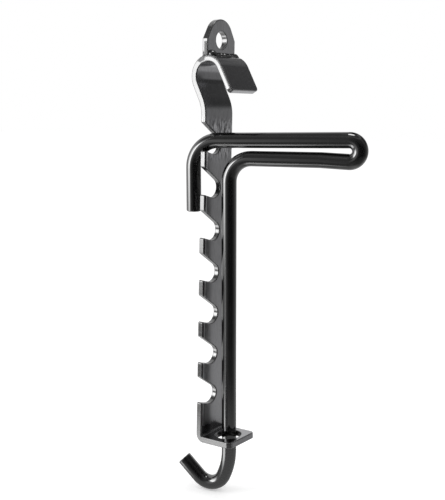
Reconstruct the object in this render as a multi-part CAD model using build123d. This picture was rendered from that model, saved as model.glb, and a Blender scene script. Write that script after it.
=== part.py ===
from build123d import *
import os
from math import cos, hypot, radians, sin, sqrt, tan

# Adjustable trammel hook: a notched flat bar with an open hook and a welded hanging eye at its
# top, and a bent round rod that steps up and down in the bar's notches.
# Millimetres. Origin at the centre of the eye's hole, +Z up, +Y from the front to the back.
# The notched edge faces -X.

# ---------------------------------------------------------------- flat bar
bar_width = 25.0
bar_thick = 3.7
bar_edge_round = 0.6

# crook: the open hook at the top, and the lean that brings the bar below it
crook_inner_radius = 8.25
crook_forward_of_eye = 2.0
lean_angle = 28.0
lean_length = 8.9
lean_bend_radius = 20.0
lip_angle = 30.0
lip_length = 15.85
lip_corner_round = 2.5

# notches in the bar's edge, counted from the top
notch_count = 7
notch_pitch = 25.6
first_tooth_below_crook = 42.17
notch_depth = 14.5
notch_play = 1.15
notch_roof_slope = 34.0
notch_floor_slope = 16.5
tooth_corner_round = 0.8

# foot: the bar's lower end, bent forward, with the hole that guides the rod
last_tooth_to_foot = 21.8
foot_reach = 22.8
foot_rise_angle = 4.8
foot_bend_inner_radius = 1.0
foot_corner_round = 3.0
foot_hole_ahead = 1.5
foot_hole_gap = 0.45

# ---------------------------------------------------------------- hanging eye and its welds
eye_thick = 4.0
eye_hole_diameter = 10.0
eye_hole_round = 0.25
eye_hole_above_crook = 8.55
eye_top_above_hole = 11.75
eye_top_radius = 10.2
eye_flank_angle = 30.0
eye_edge_round = 0.6
weld_front_rise = 1.3
weld_front_run = 3.2
weld_back_rise = 1.0
weld_back_run = 2.0
weld_bulge = 0.5

# ---------------------------------------------------------------- rod
rod_diameter = 9.0
rod_turn = 15.2
rod_lean_aside = 1.64
rod_lean_ahead = 0.23
rod_end_chamfer = 0.5
seat_out = 2.25
seat_lift = 0.65
shank_gap = 5.2
leg_gap = 4.2
leg_length = 26.2
leg_bend_radius = 16.2
upper_run_length = 78.4
upper_run_rise = 1.4
hairpin_radius = 5.9
hairpin_angle = 183.2
lower_tip_length = 15.7
lower_kink_radius = 9.0
lower_kink_angle = 2.5
shank_bend_radius = 14.1
shank_below_foot = 7.0
j_upper_radius = 43.8
j_upper_angle = 24.8
j_lower_radius = 10.4
j_lower_angle = 109.1
j_tip_length = 14.9

# ---------------------------------------------------------------- places worked out from the sizes
rod_radius = rod_diameter / 2
crook_mid_radius = crook_inner_radius + bar_thick / 2
crook_outer_radius = crook_inner_radius + bar_thick
crook_y = -crook_forward_of_eye
crook_z = -eye_hole_above_crook - crook_outer_radius
lean = radians(lean_angle)
lean_step_back = lean_length * sin(lean) + lean_bend_radius * (1 - cos(lean))
lean_height = lean_length * cos(lean) + lean_bend_radius * sin(lean)
bar_mid_y = crook_y + crook_mid_radius * cos(lean) - lean_step_back
bar_front_y = bar_mid_y - bar_thick / 2
bar_back_y = bar_mid_y + bar_thick / 2
bar_straight_top_z = crook_z - crook_mid_radius * sin(lean) - lean_height
first_tooth_z = crook_z - first_tooth_below_crook
last_tooth_z = first_tooth_z - (notch_count - 1) * notch_pitch
foot_top_z = last_tooth_z - last_tooth_to_foot
foot_setback = foot_bend_inner_radius / tan(radians(90 - foot_rise_angle) / 2)
foot_mid_radius = foot_bend_inner_radius + bar_thick / 2
foot_length = foot_reach / cos(radians(foot_rise_angle)) - foot_setback
bar_straight_bottom_z = foot_top_z + foot_setback
bar_straight_length = bar_straight_top_z - bar_straight_bottom_z
foot_bend_start = (
    bar_mid_y - foot_mid_radius * (1 + sin(radians(foot_rise_angle))),
    bar_straight_bottom_z - foot_mid_radius * cos(radians(foot_rise_angle)),
)

# where the rod lies: it crosses the middle of the bar's thickness in the top notch, at the seat
notch_radius = rod_radius + notch_play
notch_inset = notch_depth - notch_radius
travel = (notch_count - 1) * notch_pitch
turn = radians(rod_turn)
floor_slope = radians(notch_floor_slope)
half_bar_along_rod = bar_thick / 2 / cos(turn)
shank_out = half_bar_along_rod + (shank_gap + rod_radius) / cos(turn)
leg_out = half_bar_along_rod + (leg_gap + rod_radius) / cos(turn)
leg_bend_beyond_seat = max(leg_bend_radius - leg_out, 0)
leg_bend_beyond_back = max(leg_bend_beyond_seat + half_bar_along_rod, 0)
seat_above_bend = sqrt(leg_bend_radius ** 2 - leg_bend_beyond_seat ** 2)
back_above_bend = sqrt(leg_bend_radius ** 2 - leg_bend_beyond_back ** 2)
section_across = rod_radius / cos(turn)
section_up = rod_radius * leg_bend_radius / back_above_bend
section_to_floor = hypot(section_across * sin(floor_slope), section_up * cos(floor_slope))
seat_x = -bar_width / 2 + notch_inset - seat_out
back_x = seat_x - bar_thick / 2 * tan(turn)
floor_z = first_tooth_z - (back_x + bar_width / 2) * tan(floor_slope)
back_z = floor_z + (section_to_floor + seat_lift) / cos(floor_slope)
seat_z = back_z + seat_above_bend - back_above_bend
seat = Vector(seat_x, bar_mid_y, seat_z)
rod_up = Vector(-sin(radians(rod_lean_aside)), sin(radians(rod_lean_ahead)), 1).normalized()
rod_level = Vector(sin(turn), -cos(turn), 0)
rod_ahead = (rod_level - rod_up * rod_level.dot(rod_up)).normalized()
ROD_PLANE = Plane(origin=seat, x_dir=rod_ahead, z_dir=rod_ahead.cross(rod_up))

# the foot's hole stands around the shank, which moves aside a little as the rod steps down
foot_top_at_shank_z = foot_top_z + (shank_gap + rod_radius) * tan(radians(foot_rise_angle))
shank_drop = (seat_z + (rod_ahead * shank_out).Z - foot_top_at_shank_z) / rod_up.Z
shank_at_foot = seat + rod_ahead * shank_out - rod_up * shank_drop
shank_step_aside = travel * tan(radians(rod_lean_aside))
shank_step_ahead = travel * tan(radians(rod_lean_ahead))
foot_hole_x = shank_at_foot.X - shank_step_aside / 2
foot_hole_y = shank_at_foot.Y + shank_step_ahead / 2 - foot_hole_ahead
foot_hole_along = (bar_front_y - foot_hole_y) / cos(radians(foot_rise_angle)) - foot_setback
shank_off_centre = hypot(shank_step_aside / 2, foot_hole_ahead + shank_step_ahead / 2)
foot_hole_radius = rod_radius + shank_off_centre + foot_hole_gap

# ---------------------------------------------------------------- helpers
BAR_PLANE = Plane.YZ
CLOSE = 1e-4


def heading_vector(angle):
    """Unit vector in the XY plane at this angle from +X, in degrees."""
    return Vector(cos(radians(angle)), sin(radians(angle)))


def bent_path(start, heading, moves):
    """Tangent lines and arcs in the XY plane: a move is (length,) or (radius, left turn)."""
    edges = []
    point = Vector(*start)
    for move in moves:
        if len(move) == 1:
            edge = Line(point, point + heading_vector(heading) * move[0])
        else:
            radius, turn = move
            edge = JernArc(start=point, tangent=heading_vector(heading), radius=radius, arc_size=turn)
            heading += turn
        edges.append(edge)
        point = edge @ 1
    return edges


def swept(section, edges, plane, across):
    """Carry a section along a path that is drawn in the plane. The section's X lies along across."""
    path = plane * Wire(edges)
    start = Plane(origin=path @ 0, x_dir=across, z_dir=path % 0)
    return sweep(start * section, path=path)


def flat_place(point, heading):
    """Where a flat run of the bar starts: its Y runs along the heading in the bar's plane."""
    angle = radians(heading)
    start = Vector(*point)
    return Plane(origin=(0, start.X, start.Y), x_dir=(1, 0, 0), z_dir=(0, -sin(angle), cos(angle)))


def flat_run(outline, joins):
    """A flat piece of the bar: X across it, Y along it. Its rims are rounded except at the joins."""
    plate = extrude(outline, amount=bar_thick / 2, both=True)
    rims = []
    for edge in plate.edges():
        middle = edge @ 0.5
        on_a_face = abs(abs(middle.Z) - bar_thick / 2) < CLOSE
        at_a_join = any(abs(middle.Y - join) < CLOSE for join in joins)
        if on_a_face and not at_a_join:
            rims.append(edge)
    return fillet(rims, bar_edge_round)


# ---------------------------------------------------------------- bar
def notch(tooth_y):
    """One slanted notch in the flat of the bar, open at -X. Its floor leaves the edge at tooth_y."""
    centre_y = tooth_y + (notch_radius - notch_inset * sin(floor_slope)) / cos(floor_slope)
    centre = Vector(-bar_width / 2 + notch_inset, centre_y)
    mouth_x = -bar_width / 2 - notch_play
    roof_end = centre + heading_vector(90 - notch_roof_slope) * notch_radius
    floor_end = centre + heading_vector(-90 - notch_floor_slope) * notch_radius
    pocket_end = centre + heading_vector(-(notch_roof_slope + notch_floor_slope) / 2) * notch_radius
    roof_run = (roof_end.X - mouth_x) / cos(radians(notch_roof_slope))
    floor_run = (floor_end.X - mouth_x) / cos(floor_slope)
    roof_start = roof_end + heading_vector(180 - notch_roof_slope) * roof_run
    floor_start = floor_end + heading_vector(180 - notch_floor_slope) * floor_run
    return make_face([
        Line(roof_start, roof_end),
        ThreePointArc(roof_end, pocket_end, floor_end),
        Line(floor_end, floor_start),
        Line(floor_start, roof_start),
    ])


def notched_length():
    """The straight length of the bar with its notches."""
    outline = Pos(0, bar_straight_length / 2) * Rectangle(bar_width, bar_straight_length)
    for step in range(notch_count):
        outline -= notch(first_tooth_z - step * notch_pitch - bar_straight_bottom_z)
    corners = []
    for vertex in outline.vertices():
        at_the_edge = abs(vertex.X + bar_width / 2) < CLOSE
        if at_the_edge and CLOSE < vertex.Y < bar_straight_length - CLOSE:
            corners.append(vertex)
    outline = fillet(corners, tooth_corner_round)
    place = flat_place((bar_mid_y, bar_straight_bottom_z), 90)
    return place * flat_run(outline, (0, bar_straight_length))


def tongue(length, corner_round):
    """Outline of a bar end that starts at Y = 0 and has two rounded corners at its far end."""
    outline = Pos(0, length / 2) * Rectangle(bar_width, length)
    return fillet(outline.vertices().group_by(Axis.Y)[-1], corner_round)


def bar():
    """The whole bar in one piece: foot, notched length, lean, crook and lip."""
    section = RectangleRounded(bar_width, bar_thick, bar_edge_round)
    foot_outline = tongue(foot_length, foot_corner_round)
    foot_outline -= Pos(foot_hole_x, foot_hole_along) * Circle(foot_hole_radius)
    foot_flat = flat_place(foot_bend_start, 180 - foot_rise_angle) * flat_run(foot_outline, (0,))
    foot_bend_path = bent_path(foot_bend_start, -foot_rise_angle, [(foot_mid_radius, 90 + foot_rise_angle)])
    foot_bend = swept(section, foot_bend_path, BAR_PLANE, (1, 0, 0))
    top_path = bent_path((bar_mid_y, bar_straight_top_z), 90, [
        (lean_bend_radius, -lean_angle),
        (lean_length,),
        (crook_mid_radius, lean_angle + 180 - lip_angle),
    ])
    crook = swept(section, top_path, BAR_PLANE, (1, 0, 0))
    lip_start = top_path[-1] @ 1
    lip = flat_place(lip_start, 270 - lip_angle) * flat_run(tongue(lip_length, lip_corner_round), (0,))
    return foot_flat + foot_bend + notched_length() + crook + lip


# ---------------------------------------------------------------- hanging eye and welds
def eye_outline():
    """Half as wide as the bar to each side, then two straight flanks that run into a round top."""
    top_centre = Vector(0, eye_top_above_hole - eye_top_radius)
    flank_end = top_centre + heading_vector(eye_flank_angle) * eye_top_radius
    shoulder_drop = (bar_width / 2 - flank_end.X) / tan(radians(eye_flank_angle))
    shoulder = Vector(bar_width / 2, flank_end.Y - shoulder_drop)
    corner = Vector(bar_width / 2, crook_z)
    top = Vector(0, eye_top_above_hole)
    return make_face([
        Line(corner, shoulder),
        Line(shoulder, flank_end),
        ThreePointArc(flank_end, top, mirrored(flank_end)),
        Line(mirrored(flank_end), mirrored(shoulder)),
        Line(mirrored(shoulder), mirrored(corner)),
        Line(mirrored(corner), corner),
    ])


def mirrored(point):
    """The same place on the other side of the middle."""
    return Vector(-point.X, point.Y)


def eye():
    """Upright plate with a round hole, cut below to sit on the crook's crown."""
    plate = extrude(eye_outline() - Circle(eye_hole_diameter / 2), amount=eye_thick / 2, both=True)
    hole_rims = [edge for edge in face_rims(plate) if edge.is_closed]
    plate = fillet(hole_rims, eye_hole_round)
    outer_rims = [edge for edge in face_rims(plate) if not edge.is_closed]
    outer_rims = [edge for edge in outer_rims if (edge @ 0.5).Y > crook_z + CLOSE]
    plate = fillet(outer_rims, eye_edge_round)
    return Plane(origin=(0, 0, 0), x_dir=(1, 0, 0), z_dir=(0, -1, 0)) * plate - crook_roller()


def face_rims(plate):
    """The edges around the eye plate's two flat faces."""
    return [edge for edge in plate.edges() if abs(abs((edge @ 0.5).Z) - eye_thick / 2) < CLOSE]


def crook_roller():
    """A cylinder as large as the crook's outer face, on the crook's axis."""
    return Plane(origin=(0, crook_y, crook_z), z_dir=(1, 0, 0)) * Cylinder(crook_outer_radius, 2 * bar_width)


def weld(side, rise, run):
    """A fillet weld between the eye's front (-1) or back (+1) face and the crook's outer face."""
    face_y = side * eye_thick / 2
    top = Vector(face_y, crook_z + crook_outer_radius + rise)
    toe_y = face_y + side * run
    toe = Vector(toe_y, crook_z + (crook_outer_radius ** 2 - (toe_y - crook_y) ** 2) ** 0.5)
    middle = (top + toe) / 2 + Vector(side, 1).normalized() * weld_bulge
    root = Vector(face_y, crook_z)
    outline = BAR_PLANE * make_face([ThreePointArc(top, middle, toe), Line(toe, root), Line(root, top)])
    bead = extrude(outline, amount=bar_width / 2 - bar_edge_round, both=True)
    return bead - crook_roller()


# ---------------------------------------------------------------- rod
def rod_path():
    """Centreline of the rod, from the leg's end over the handle and down the shank to the J's tip."""
    leg_moves = [
        (leg_length,),
        (leg_bend_radius, upper_run_rise - 90),
        (upper_run_length,),
        (hairpin_radius, -hairpin_angle),
        (lower_tip_length,),
        (lower_kink_radius, lower_kink_angle),
    ]
    leg_end = (-leg_out, -seat_above_bend - leg_length)
    handle = bent_path(leg_end, 90, leg_moves)
    kink_end = handle[-1] @ 1
    heading = upper_run_rise - hairpin_angle + lower_kink_angle + 360
    rise = radians(180 - heading)
    bend_reach = shank_bend_radius * (1 + sin(rise))
    lower_run_length = (kink_end.X - shank_out - bend_reach) / cos(rise)
    lower_moves = [(lower_run_length,), (shank_bend_radius, 270 - heading)]
    lower = bent_path(kink_end, heading, lower_moves)
    shank_top = lower[-1] @ 1
    foot_bottom_z = foot_top_z - bar_thick
    shank_length = seat_z + shank_top.Y - foot_bottom_z + shank_below_foot
    hook = bent_path(shank_top, -90, [
        (shank_length,),
        (j_upper_radius, -j_upper_angle),
        (j_lower_radius, -j_lower_angle),
        (j_tip_length,),
    ])
    return handle + lower + hook


def rod():
    """The whole rod in one piece, its two ends cut square and chamfered."""
    body = swept(Circle(rod_radius), rod_path(), ROD_PLANE, ROD_PLANE.z_dir)
    end_faces = [face for face in body.faces() if face.geom_type == GeomType.PLANE]
    return chamfer([edge for face in end_faces for edge in face.edges()], rod_end_chamfer)


os.makedirs("parts", exist_ok=True)
for name, solid in {
    "notched_bar": bar(),
    "hanging_eye": eye(),
    "front_weld": weld(-1, weld_front_rise, weld_front_run),
    "back_weld": weld(1, weld_back_rise, weld_back_run),
    "hook_rod": rod(),
}.items():
    export_step(solid, f"parts/{name}.step")
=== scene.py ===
"""Looks of the adjustable trammel hook: glossy black steel on a white studio floor."""
from math import cos, pi, radians, sin, sqrt

import bpy
from mathutils import Matrix, Vector


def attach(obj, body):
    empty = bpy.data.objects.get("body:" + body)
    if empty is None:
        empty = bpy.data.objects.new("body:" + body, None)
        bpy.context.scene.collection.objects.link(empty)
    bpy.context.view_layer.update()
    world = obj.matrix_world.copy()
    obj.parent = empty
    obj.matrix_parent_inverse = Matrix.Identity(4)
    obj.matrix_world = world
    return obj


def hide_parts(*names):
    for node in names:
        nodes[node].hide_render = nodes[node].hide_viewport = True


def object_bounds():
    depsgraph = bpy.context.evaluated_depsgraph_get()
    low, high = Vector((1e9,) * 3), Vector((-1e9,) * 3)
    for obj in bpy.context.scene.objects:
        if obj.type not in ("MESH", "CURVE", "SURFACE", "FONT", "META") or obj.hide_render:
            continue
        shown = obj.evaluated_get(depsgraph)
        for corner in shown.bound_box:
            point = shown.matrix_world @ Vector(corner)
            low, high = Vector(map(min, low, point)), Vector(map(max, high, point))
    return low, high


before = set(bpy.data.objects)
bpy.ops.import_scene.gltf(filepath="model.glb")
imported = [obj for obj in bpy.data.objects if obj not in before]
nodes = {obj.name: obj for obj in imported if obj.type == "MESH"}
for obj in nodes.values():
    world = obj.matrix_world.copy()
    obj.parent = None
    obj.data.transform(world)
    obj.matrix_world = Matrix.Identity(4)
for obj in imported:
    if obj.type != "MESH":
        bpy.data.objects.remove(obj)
cad_low, cad_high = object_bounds()
scene = bpy.context.scene
MM = 0.001

# ---------------------------------------------------------------- camera
scene.view_settings.view_transform = "Standard"
camera_azimuth = radians(-51.24)
camera_pitch = radians(10.2)
camera_roll = radians(1.149)
camera_distance = 0.4638
camera_aim = Vector((-0.0135, -0.0165, -0.1190))
camera_lens = 57.8
forward = Vector((
    -sin(camera_azimuth) * cos(camera_pitch),
    cos(camera_azimuth) * cos(camera_pitch),
    -sin(camera_pitch),
))
right = Vector((cos(camera_azimuth), sin(camera_azimuth), 0))
up = right.cross(forward)
rolled_right = right * cos(camera_roll) + up * sin(camera_roll)
rolled_up = up * cos(camera_roll) - right * sin(camera_roll)
camera_data = bpy.data.cameras.new("camera")
camera_data.lens = camera_lens
camera = bpy.data.objects.new("camera", camera_data)
scene.collection.objects.link(camera)
turned = Matrix((rolled_right, rolled_up, -forward)).transposed().to_4x4()
camera.matrix_world = Matrix.Translation(camera_aim - forward * camera_distance) @ turned
scene.camera = camera

# ---------------------------------------------------------------- node helpers


def new_material(name):
    material = bpy.data.materials.new(name)
    material.use_nodes = True
    return material, material.node_tree, material.node_tree.nodes["Principled BSDF"]


def give(tree, socket, value):
    """Link a socket to another socket, or set it to a number."""
    if isinstance(value, bpy.types.NodeSocket):
        tree.links.new(value, socket)
    else:
        socket.default_value = value


def add(tree, kind, **inputs):
    """A new node with its inputs set; an input given as a socket is linked."""
    node = tree.nodes.new(kind)
    for key, value in inputs.items():
        give(tree, node.inputs[key.replace("_", " ")], value)
    return node


def maths(tree, operation, first, second=0.0, third=0.0):
    node = tree.nodes.new("ShaderNodeMath")
    node.operation = operation
    for socket, value in zip(node.inputs, (first, second, third)):
        give(tree, socket, value)
    return node.outputs[0]


def product(tree, first, *others):
    for other in others:
        first = maths(tree, "MULTIPLY", first, other)
    return first


def largest(tree, first, *others):
    for other in others:
        first = maths(tree, "MAXIMUM", first, other)
    return first


def diagonal(tree, first, second):
    """Length of a step of first one way and second at right angles to it."""
    squares = maths(tree, "MULTIPLY_ADD", first, first, product(tree, second, second))
    return maths(tree, "SQRT", squares)


def mixed(tree, share, first, second):
    """A number that goes from first to second by share."""
    gap = maths(tree, "SUBTRACT", second, first)
    return maths(tree, "MULTIPLY_ADD", share, gap, first)


def map_range(tree, value, *limits):
    """A node that takes a value from limits 1 and 2 to limits 3 and 4."""
    node = add(tree, "ShaderNodeMapRange", Value=value)
    for index, number in enumerate(limits, start=1):
        node.inputs[index].default_value = number
    return node


def spread(tree, value, low, high, from_low=0.0, from_high=1.0):
    """A value rescaled to run from low to high."""
    return map_range(tree, value, from_low, from_high, low, high).outputs["Result"]


def fade(tree, value, start, end, low=0.0, high=1.0):
    """A value turned smoothly from low at start to high at end."""
    node = map_range(tree, value, start, end, low, high)
    node.interpolation_type = "SMOOTHSTEP"
    return node.outputs["Result"]


def fade_out(tree, value, start, end):
    """1 up to start, falling smoothly to 0 at end."""
    return fade(tree, value, start, end, 1.0, 0.0)


def band(tree, value, rise, fall):
    """1 between the end of the rise and the start of the fall, 0 outside both."""
    return product(tree, fade(tree, value, *rise), fade_out(tree, value, *fall))


def grainy(tree, pattern, low, high):
    """A noise pattern's middle range, stretched to run from low to high."""
    return spread(tree, pattern, low, high, 0.3, 0.7)


def object_axes(tree, vector_kind):
    place = tree.nodes.new("ShaderNodeTexCoord")
    return add(tree, "ShaderNodeSeparateXYZ", Vector=place.outputs[vector_kind])


def noise(tree, per_metre, detail=3.0, shift=0.0, distortion=0.0):
    """Noise fixed to the part, with its own number of grains per metre along X, Y and Z."""
    place = tree.nodes.new("ShaderNodeTexCoord")
    scaled = add(tree, "ShaderNodeMapping", Vector=place.outputs["Object"],
                 Location=(shift, shift, shift), Scale=per_metre)
    grain = add(tree, "ShaderNodeTexNoise", Vector=scaled.outputs["Vector"],
                Scale=1.0, Detail=detail, Distortion=distortion)
    return grain.outputs[0]


def edge_closeness(tree, radius):
    """0 on open faces, rising to an edge within the radius."""
    bevel = add(tree, "ShaderNodeBevel", Radius=radius)
    bevel.samples = 8
    face = tree.nodes.new("ShaderNodeNewGeometry")
    dot = tree.nodes.new("ShaderNodeVectorMath")
    dot.operation = "DOT_PRODUCT"
    tree.links.new(bevel.outputs[0], dot.inputs[0])
    tree.links.new(face.outputs["Normal"], dot.inputs[1])
    return maths(tree, "SUBTRACT", 1.0, dot.outputs["Value"])


def bumped(tree, distance, height, below=None):
    """Normal pushed by a height pattern, on top of the relief below it."""
    node = add(tree, "ShaderNodeBump", Strength=1.0, Distance=distance, Height=height)
    if below is not None:
        tree.links.new(below, node.inputs["Normal"])
    return node.outputs["Normal"]


def grey(tree, value):
    """A grey that is faintly blue."""
    return add(tree, "ShaderNodeCombineColor", Red=value, Green=value,
               Blue=product(tree, value, 1.03)).outputs[0]


def coat(tree, shader, colour, rough, relief):
    tree.links.new(grey(tree, colour), shader.inputs["Base Color"])
    tree.links.new(rough, shader.inputs["Roughness"])
    tree.links.new(relief, shader.inputs["Normal"])


def see_through(tree, cover, strength):
    """Make a material send light where cover is 1 and let light pass where it is 0."""
    glow = add(tree, "ShaderNodeEmission", Strength=strength)
    clear = tree.nodes.new("ShaderNodeBsdfTransparent")
    blend = add(tree, "ShaderNodeMixShader", Fac=cover)
    tree.links.new(clear.outputs[0], blend.inputs[1])
    tree.links.new(glow.outputs[0], blend.inputs[2])
    tree.links.new(blend.outputs[0], tree.nodes["Material Output"].inputs["Surface"])


# ---------------------------------------------------------------- materials
# Places on the bar, in metres from the middle of the eye's hole; points are (Y, Z).
crook_middle = (-0.0020, -0.0205)
scorch_middle = (0.0033, -0.0092)
lip_turn = radians(30)
bar_half_width = 0.0125
worked_strip = ((-0.072, -0.060), (-0.050, -0.042))
straight_part = ((-0.234, -0.230), (-0.062, -0.058))
eye_foot = (-0.0100, -0.0092)
eye_middle = (-0.0016, -0.0006)
crook_rim = ((0.0102, 0.0111), (0.0120, 0.0124))
scorch_reach = (0.0034, 0.0050)
# insets from the bar's edge of the painted dark line and the painted highlight line beside the
# teeth
painted_dark_line_inset = (0.0011, 0.0014)
painted_highlight_inset = ((0.0013, 0.0015), (0.0020, 0.0023))
scorched_rough = 0.6


def offset(tree, spot, middle):
    """Distances behind and above a (Y, Z) point."""
    return (maths(tree, "SUBTRACT", spot.outputs["Y"], middle[0]),
            maths(tree, "SUBTRACT", spot.outputs["Z"], middle[1]))


def crook_reach(tree, spot):
    """Distance outward from the crook's middle; past the bend, from a line along the lip."""
    behind, above = offset(tree, spot, crook_middle)
    outward = maths(tree, "MULTIPLY_ADD", behind, -cos(lip_turn),
                    product(tree, above, sin(lip_turn)))
    forth = maths(tree, "MULTIPLY_ADD", behind, -sin(lip_turn),
                  product(tree, above, -cos(lip_turn)))
    return diagonal(tree, largest(tree, outward, 0.0), maths(tree, "MINIMUM", forth, 0.0))


def bar_coat(name):
    """Black coat on flat bar: thin over drawn steel on the faces, thick on the cut edges, with
    painted light: dark lines along rounded edges, a highlight line by the teeth's edge and
    brighter steel on the straight part and the eye.
    """
    material, tree, shader = new_material(name)
    shader.inputs["IOR"].default_value = 2.15
    spot = object_axes(tree, "Object")
    across, depth, height = (spot.outputs[axis] for axis in "XYZ")
    facing = object_axes(tree, "Normal")

    streak = noise(tree, (520, 520, 120), 2.0, 0.0, 2.2)
    skin = noise(tree, (1500, 1500, 1100), 2.0, 7.3)
    tear = noise(tree, (900, 90, 900), 3.0, 3.1)
    strip = fade(tree, streak, 0.38, 0.62)

    worked = band(tree, height, *worked_strip)
    straight = band(tree, height, *straight_part)

    # thick paint: sides, cuts across the straight part and the back face; along rounded edges
    # the dark coat paints a dark line for the edges' reflection
    sideways = fade(tree, maths(tree, "ABSOLUTE", facing.outputs["X"]), 0.12, 0.45)
    edgewise = fade_out(tree, maths(tree, "ABSOLUTE", facing.outputs["Y"]), 0.35, 0.75)
    # painted reflection: within 1.6 mm of every rounded edge the coat turns dark, a painted
    # dark line where the rounding mirrors the dark front
    painted_edge_line = fade(tree, edge_closeness(tree, 0.0016), 0.01, 0.10)
    rear = fade(tree, facing.outputs["Y"], 0.15, 0.5)
    thick = largest(tree, sideways, product(tree, straight, edgewise), painted_edge_line, rear)

    # dull paint by the weld: the crook's outer rim, the eye's flank and a ragged patch
    rim = product(tree, band(tree, crook_reach(tree, spot), *crook_rim),
                  fade_out(tree, depth, 0.002, 0.006))
    flank = product(tree, fade_out(tree, depth, 0.0002, 0.0008),
                    band(tree, height, eye_foot, eye_middle))
    ragged = maths(tree, "MULTIPLY_ADD", skin, 0.0012,
                   diagonal(tree, *offset(tree, spot, scorch_middle)))
    patch = fade_out(tree, ragged, *scorch_reach)
    scorch = product(tree, largest(tree, rim, flank, patch), thick)

    # painted reflection of the bar's rolled edge, seen on the teeth: a painted dark line, then
    # a painted highlight line
    inset = maths(tree, "ADD", across, bar_half_width)
    painted_dark_line = product(tree, straight, fade_out(tree, inset, *painted_dark_line_inset))
    painted_highlight = product(tree, straight, band(tree, inset, *painted_highlight_inset))

    shade = mixed(tree, mixed(tree, worked, 0.1, 1.0), 0.5, strip)
    # painted light: the straight part, the worked strip and the eye get brighter steel (x1.27)
    # than the crook (x0.92), so these faces look more lit
    painted_lit_faces = largest(tree, straight, worked, fade(tree, height, *eye_foot))
    steel = product(tree, spread(tree, shade, 0.08, 0.52), mixed(tree, painted_lit_faces, 0.92, 1.27))
    steel = mixed(tree, painted_dark_line, steel, 0.09)
    steel = mixed(tree, painted_highlight, steel, 1.0)
    colour = mixed(tree, thick, steel, grainy(tree, tear, 0.003, 0.02))

    rough = mixed(tree, straight, spread(tree, shade, 0.16, 0.22),
                  grainy(tree, streak, 0.28, 0.38))
    rough = mixed(tree, thick, rough, grainy(tree, tear, 0.10, 0.20))
    dull = largest(tree, scorch, product(tree, painted_edge_line, 0.7))
    rough = mixed(tree, dull, rough, scorched_rough)
    rough = mixed(tree, rear, rough, grainy(tree, largest(tree, skin, strip), 0.44, 0.56))

    relief = bumped(tree, 3e-4, product(tree, streak, worked))
    relief = bumped(tree, 2e-6, skin, relief)
    relief = bumped(tree, 8e-6, product(tree, tear, thick), relief)
    coat(tree, shader, colour, rough, relief)
    tree.links.new(maths(tree, "SUBTRACT", 1.0, thick), shader.inputs["Metallic"])
    return material


def glossy_coat(name, dark, pale, rough, streaks, fine, bumps, ior):
    """Wet-looking black coat: colour and gloss vary softly, with a fine skin on top."""
    material, tree, shader = new_material(name)
    shader.inputs["IOR"].default_value = ior
    streak = noise(tree, streaks, 3.0, 0.0, 0.6)
    skin = noise(tree, fine, 2.0, 7.3)
    blotch = mixed(tree, 0.3, streak, skin)
    relief = bumped(tree, bumps[0], streak)
    relief = bumped(tree, bumps[1], skin, relief)
    coat(tree, shader, grainy(tree, blotch, dark, pale), grainy(tree, blotch, *rough), relief)
    return material


bar_steel = bar_coat("bar_black")
rod_steel = glossy_coat(
    "rod_black", dark=0.0015, pale=0.0045, rough=(0.025, 0.055),
    streaks=(300, 300, 120), fine=(900, 900, 700), bumps=(1e-5, 1.5e-6), ior=2.0)
weld_steel = glossy_coat(
    "weld_black", dark=0.001, pale=0.004, rough=(0.16, 0.26),
    streaks=(600, 600, 600), fine=(1500, 1500, 1500), bumps=(1e-5, 3e-6), ior=1.9)
looks = {
    "notched_bar": bar_steel,
    "hanging_eye": bar_steel,
    "front_weld": weld_steel,
    "back_weld": weld_steel,
    "hook_rod": rod_steel,
}
for name, material in looks.items():
    nodes[name].data.materials[0] = material

# ---------------------------------------------------------------- weld beads
eye_half_thick = 2.0 * MM
crook_centre = Vector((0, -2.0 * MM, -20.5 * MM))
crook_outer = 11.95 * MM
bead_sink = 0.12 * MM
bead_root = 0.9 * MM
bead_end_round = 0.9 * MM
ripple_pitch = 0.85 * MM
ripple_height = 0.012 * MM


def crown_height(y):
    """Height of the crook's outer face at a depth y."""
    return crook_centre.z + sqrt(crook_outer ** 2 - (y - crook_centre.y) ** 2)


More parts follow.
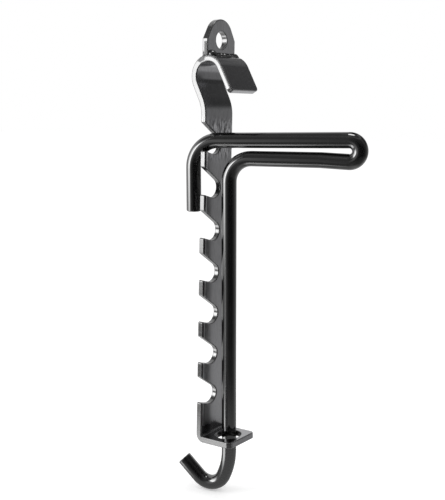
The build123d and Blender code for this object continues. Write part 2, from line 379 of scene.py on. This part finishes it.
def weld_bead(name, node, facing, ends, rise, run, bulge, lumps, columns=150, rows=12):
    """A fillet bead laid in overlapping lumps, (place, size, extra rise) in mm along X.

    Facing is -1 for the front of the eye and 1 for its back.
    """
    points = []
    for column in range(columns + 1):
        x = ends[0] + (ends[1] - ends[0]) * column / columns
        swell = 0.0
        climb = 0.0
        for place, size, extra in lumps:
            away = (x / MM - place) / size
            dome = sqrt(max(0.0, 1.0 - away * away))
            swell = max(swell, dome)
            climb = max(climb, extra * dome)
        closing = min(1.0, (x - ends[0]) / bead_end_round, (ends[1] - x) / bead_end_round)
        closing = sqrt(max(0.0, closing * (2.0 - closing)))
        fill = (0.55 + 0.45 * swell) * (0.25 + 0.75 * closing)
        wander = 0.12 * sin(x / MM * 1.9) + 0.08 * sin(x / MM * 4.3 + 1.0)
        top_y = facing * (eye_half_thick - bead_sink)
        top_z = crown_height(top_y) + (rise * (fill + 0.5 * wander) + climb * MM)
        toe_y = facing * (eye_half_thick + run * (fill + wander * 0.6))
        toe_z = crown_height(toe_y) - bead_sink
        leg_y, leg_z = toe_y - top_y, toe_z - top_z
        length = sqrt(leg_y ** 2 + leg_z ** 2)
        out_y, out_z = -leg_z / length * facing, leg_y / length * facing
        for row in range(rows + 1):
            along = row / rows
            ripple = ripple_height * sin(x * 2 * pi / ripple_pitch - 5.0 * (2 * along - 1) ** 2)
            height = sin(pi * along) * (bulge * fill + ripple + 0.25 * climb * MM)
            points.append((x, top_y + leg_y * along + out_y * height,
                           top_z + leg_z * along + out_z * height))
        points.append((x, top_y - facing * 0.3 * MM, crown_height(top_y) - bead_root))
    ring = rows + 2
    faces = []
    for column in range(columns):
        for row in range(ring):
            first = column * ring + row
            after = column * ring + (row + 1) % ring
            faces.append((first, after, after + ring, first + ring))
    faces.append(tuple(range(ring))[::-1])
    faces.append(tuple(columns * ring + row for row in range(ring)))
    mesh = bpy.data.meshes.new(name)
    mesh.from_pydata(points, [], faces)
    if facing > 0:
        mesh.flip_normals()
    for polygon in mesh.polygons:
        polygon.use_smooth = len(polygon.vertices) == 4
    mesh.materials.append(weld_steel)
    made = bpy.data.objects.new(name, mesh)
    scene.collection.objects.link(made)
    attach(made, "bar")
    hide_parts(node)
    return made


weld_bead("front_bead", "front_weld", -1, ends=(-11.6 * MM, 12.1 * MM),
          rise=1.5 * MM, run=4.2 * MM, bulge=0.75 * MM,
          lumps=[(-9.4, 2.3, 1.3), (-5.6, 2.4, 0.0), (-2.2, 2.2, 0.0), (1.9, 2.7, 0.0),
                 (5.7, 2.3, 0.0), (8.9, 2.0, 0.0), (11.4, 1.7, 0.3)])
weld_bead("back_bead", "back_weld", 1, ends=(-11.4 * MM, 11.6 * MM),
          rise=1.0 * MM, run=2.2 * MM, bulge=0.45 * MM,
          lumps=[(-9.6, 2.0, 0.2), (-6.1, 2.2, 0.0), (-2.3, 2.3, 0.1), (1.6, 2.2, 0.0),
                 (5.4, 2.4, 0.0), (9.2, 2.2, 0.2)])

# ---------------------------------------------------------------- studio: white world
world = bpy.data.worlds.new("studio")
scene.world = world
world.use_nodes = True
sky = world.node_tree
path = sky.nodes.new("ShaderNodeLightPath")
kinds = ("Is Camera Ray", "Is Glossy Ray", "Is Transmission Ray")
shown = largest(sky, *(path.outputs[kind] for kind in kinds))
world_light = 0.8
background = sky.nodes["Background"]
sky.links.new(spread(sky, shown, world_light, 1.0), background.inputs["Strength"])
background.inputs["Color"].default_value = (1, 1, 1, 1)

# ---------------------------------------------------------------- studio: cards and soft boxes
studio_centre = Vector((0.0, -0.02, -0.12))
studio_radius = 1.2
card_step = 5.0
front = Vector((-forward.x, -forward.y, 0)).normalized()
side = Vector((-right.x, -right.y, 0))


def graded(tree, value, stops, low, high):
    """Light level along a card, from (degrees, level) stops."""
    top = max(level for _, level in stops)
    node = add(tree, "ShaderNodeValToRGB", Fac=value)
    ramp = node.color_ramp
    ramp.elements.remove(ramp.elements[1])
    for index, (degrees, level) in enumerate(stops):
        place = (degrees - low) / (high - low)
        element = ramp.elements.new(place) if index else ramp.elements[0]
        element.position = place
        element.color = (level / top, level / top, level / top, 1)
    return product(tree, node.outputs["Color"], top)


def card_material(name, azimuths, elevations, feathers, across, upward):
    """Light that a card sends, graded across and upward, fading out at its four edges."""
    material, tree, shader = new_material(name)
    place = tree.nodes.new("ShaderNodeUVMap")
    axes = add(tree, "ShaderNodeSeparateXYZ", Vector=place.outputs["UV"])
    cover = 1.0
    sides = zip("XY", (azimuths, elevations), (feathers[:2], feathers[2:]))
    for axis, (low, high), pair in sides:
        far_edge = maths(tree, "SUBTRACT", 1.0, axes.outputs[axis])
        for edge, soft in zip((axes.outputs[axis], far_edge), pair):
            if soft:
                cover = product(tree, cover, fade(tree, edge, 0.0, soft / (high - low)))
    level = graded(tree, axes.outputs["X"], across, *azimuths)
    if upward:
        level = maths(tree, "ADD", level, graded(tree, axes.outputs["Y"], upward, *elevations))
    see_through(tree, cover, level)
    return material


def card(name, azimuths, elevations, feathers, across, upward=None, radius=studio_radius):
    """Curved card round the object that only glossy rays meet.

    Angles are in degrees; azimuth 0 is on the camera's side, + to its left. Feathers are the
    soft widths at the left, right, lower and upper edge. Of two cards the nearer one counts.
    """
    columns = max(2, round((azimuths[1] - azimuths[0]) / card_step))
    rows = max(2, round((elevations[1] - elevations[0]) / card_step))
    points = []
    marks = []
    for row in range(rows + 1):
        elevation = radians(elevations[0] + (elevations[1] - elevations[0]) * row / rows)
        for column in range(columns + 1):
            azimuth = radians(azimuths[0] + (azimuths[1] - azimuths[0]) * column / columns)
            flat = front * cos(azimuth) + side * sin(azimuth)
            outward = flat * cos(elevation) + Vector((0, 0, sin(elevation)))
            points.append(studio_centre + radius * outward)
            marks.append((column / columns, row / rows))
    faces = []
    for row in range(rows):
        for column in range(columns):
            corner = row * (columns + 1) + column
            faces.append((corner, corner + 1, corner + columns + 2, corner + columns + 1))
    mesh = bpy.data.meshes.new(name)
    mesh.from_pydata(points, [], faces)
    layer = mesh.uv_layers.new(name="UVMap")
    for loop in mesh.loops:
        layer.data[loop.index].uv = marks[loop.vertex_index]
    mesh.materials.append(card_material(name, azimuths, elevations, feathers, across, upward))
    made = bpy.data.objects.new(name, mesh)
    scene.collection.objects.link(made)
    made.visible_camera = False
    made.visible_diffuse = False
    made.visible_shadow = False
    return made


card("backdrop_front", (-155, 66), (-80, 64), (25, 36, 22, 14),
     across=[(-140, 0.8), (-120, 0.46), (-105, 0.38), (-90, 0.22), (-70, 0.10), (-45, 0.02),
             (5, 0.015), (35, 0.15)],
     upward=[(-70, 0.30), (-50, 0.13), (-30, 0.10), (-16, 0.0), (16, 0.0), (40, 0.08),
             (60, 0.14)])
card("shade_right", (-150, -82), (14, 58), (10, 12, 9, 12),
     across=[(-140, 0.28), (-120, 0.10), (-90, 0.06)], radius=1.10)
card("shade_back", (-178, -130), (24, 84), (14, 12, 8, 10), across=[(-150, 0.02)],
     upward=[(24, 0.10), (36, 0.10), (41, 0.34), (46, 0.0), (84, 0.0)], radius=1.09)
card("glow_right_low", (-140, -94), (-52, -14), (10, 10, 12, 12), across=[(-120, 0.72)],
     radius=1.17)
card("shade_low_left", (22, 62), (-58, -18), (10, 8, 10, 8), across=[(40, 0.16)], radius=1.10)
card("ceiling", (-180, 180), (50, 90), (0, 0, 14, 0), across=[(0, 0.2)], radius=1.32)
card("zenith", (-180, 180), (76, 90), (0, 0, 7, 0), across=[(0, 6.5)], radius=1.10)
card("ceiling_left", (36, 122), (24, 62), (12, 12, 14, 8), across=[(80, 0.22)], radius=1.28)
card("ceiling_near", (30, 64), (10, 50), (8, 8, 10, 8), across=[(50, 0.18)], radius=1.27)
card("softbox_left", (61, 104), (-17, 25), (8, 12, 16, 8),
     across=[(65, 5.5), (71, 11.0), (77, 7.0), (80, 6.0), (92, 5.0), (104, 2.6)], radius=1.15)
card("gap_left", (60, 125), (-32, -12), (8, 12, 6, 5),
     across=[(66, 1.1), (76, 0.7), (88, 0.4), (115, 0.4)], radius=1.18)
card("softbox_low", (64, 110), (-52, -25), (8, 10, 7, 6), across=[(80, 4.2)], radius=1.14)
card("glow_low", (52, 140), (-84, -50), (10, 10, 10, 8), across=[(80, 1.7)], radius=1.16)

# ---------------------------------------------------------------- studio: floor


def flat_distance(tree):
    """Distance over the floor from the object's upright axis."""
    place = tree.nodes.new("ShaderNodeTexCoord")
    flat_place = add(tree, "ShaderNodeVectorMath", Vector=place.outputs["Object"])
    flat_place.operation = "MULTIPLY"
    flat_place.inputs[1].default_value = (1, 1, 0)
    out = add(tree, "ShaderNodeVectorMath", Vector=flat_place.outputs[0])
    out.operation = "LENGTH"
    return out.outputs["Value"]


def flat_square(name, half_size, height, material):
    """A level square round the object's upright axis."""
    corners = [(x * half_size, y * half_size, height)
               for x, y in ((-1, -1), (1, -1), (1, 1), (-1, 1))]
    mesh = bpy.data.meshes.new(name)
    mesh.from_pydata(corners, [], [(0, 1, 2, 3)])
    mesh.materials.append(material)
    made = bpy.data.objects.new(name, mesh)
    scene.collection.objects.link(made)
    return made


floor_height = cad_low.z - 0.15 * MM
floor_reach = 5.0
floor_white, tree, shader = new_material("floor_white")
shader.inputs["Roughness"].default_value = 0.18
shader.inputs["IOR"].default_value = 1.25
shader.inputs["Emission Color"].default_value = (1, 1, 1, 1)
shader.inputs["Emission Strength"].default_value = 0.3
shade = spread(tree, noise(tree, (40, 40, 40), 2.0), 0.97, 1.0)
paper = add(tree, "ShaderNodeCombineColor", Red=shade, Green=shade, Blue=shade)
tree.links.new(paper.outputs[0], shader.inputs["Base Color"])
mirror = fade(tree, flat_distance(tree), 0.12, 0.5, 0.5, 0.0)
tree.links.new(mirror, shader.inputs["Specular IOR Level"])
floor = flat_square("floor", floor_reach, floor_height, floor_white)
floor.visible_glossy = False
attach(floor, "rod")

# The floor beside the object as the glossy steel mirrors it; the camera doesn't see it.
table_reach = 0.24
table_light, tree, shader = new_material("table_glow")
place = tree.nodes.new("ShaderNodeTexCoord")
aside = add(tree, "ShaderNodeVectorMath", Vector=place.outputs["Object"])
aside.operation = "DOT_PRODUCT"
aside.inputs[1].default_value = side
near = product(tree, fade_out(tree, flat_distance(tree), 0.03, table_reach),
               fade_out(tree, aside.outputs["Value"], 0.01, 0.05))
see_through(tree, near, 0.45)
table = flat_square("table_glow", table_reach, floor_height + 0.1 * MM, table_light)
table.visible_camera = False
table.visible_diffuse = False
table.visible_shadow = False
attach(table, "rod")

# ---------------------------------------------------------------- studio: soft key
key_data = bpy.data.lights.new("key", "AREA")
key_data.shape = "RECTANGLE"
key_data.size = 0.5
key_data.size_y = 0.5
key_data.energy = 3.0
key = bpy.data.objects.new("key", key_data)
scene.collection.objects.link(key)
key_place = studio_centre + side * 0.9 + front * 0.25 + Vector((0, 0, 0.7))
aim = (studio_centre - key_place).normalized().to_track_quat("-Z", "Y")
key.matrix_world = Matrix.Translation(key_place) @ aim.to_matrix().to_4x4()
key.visible_glossy = False
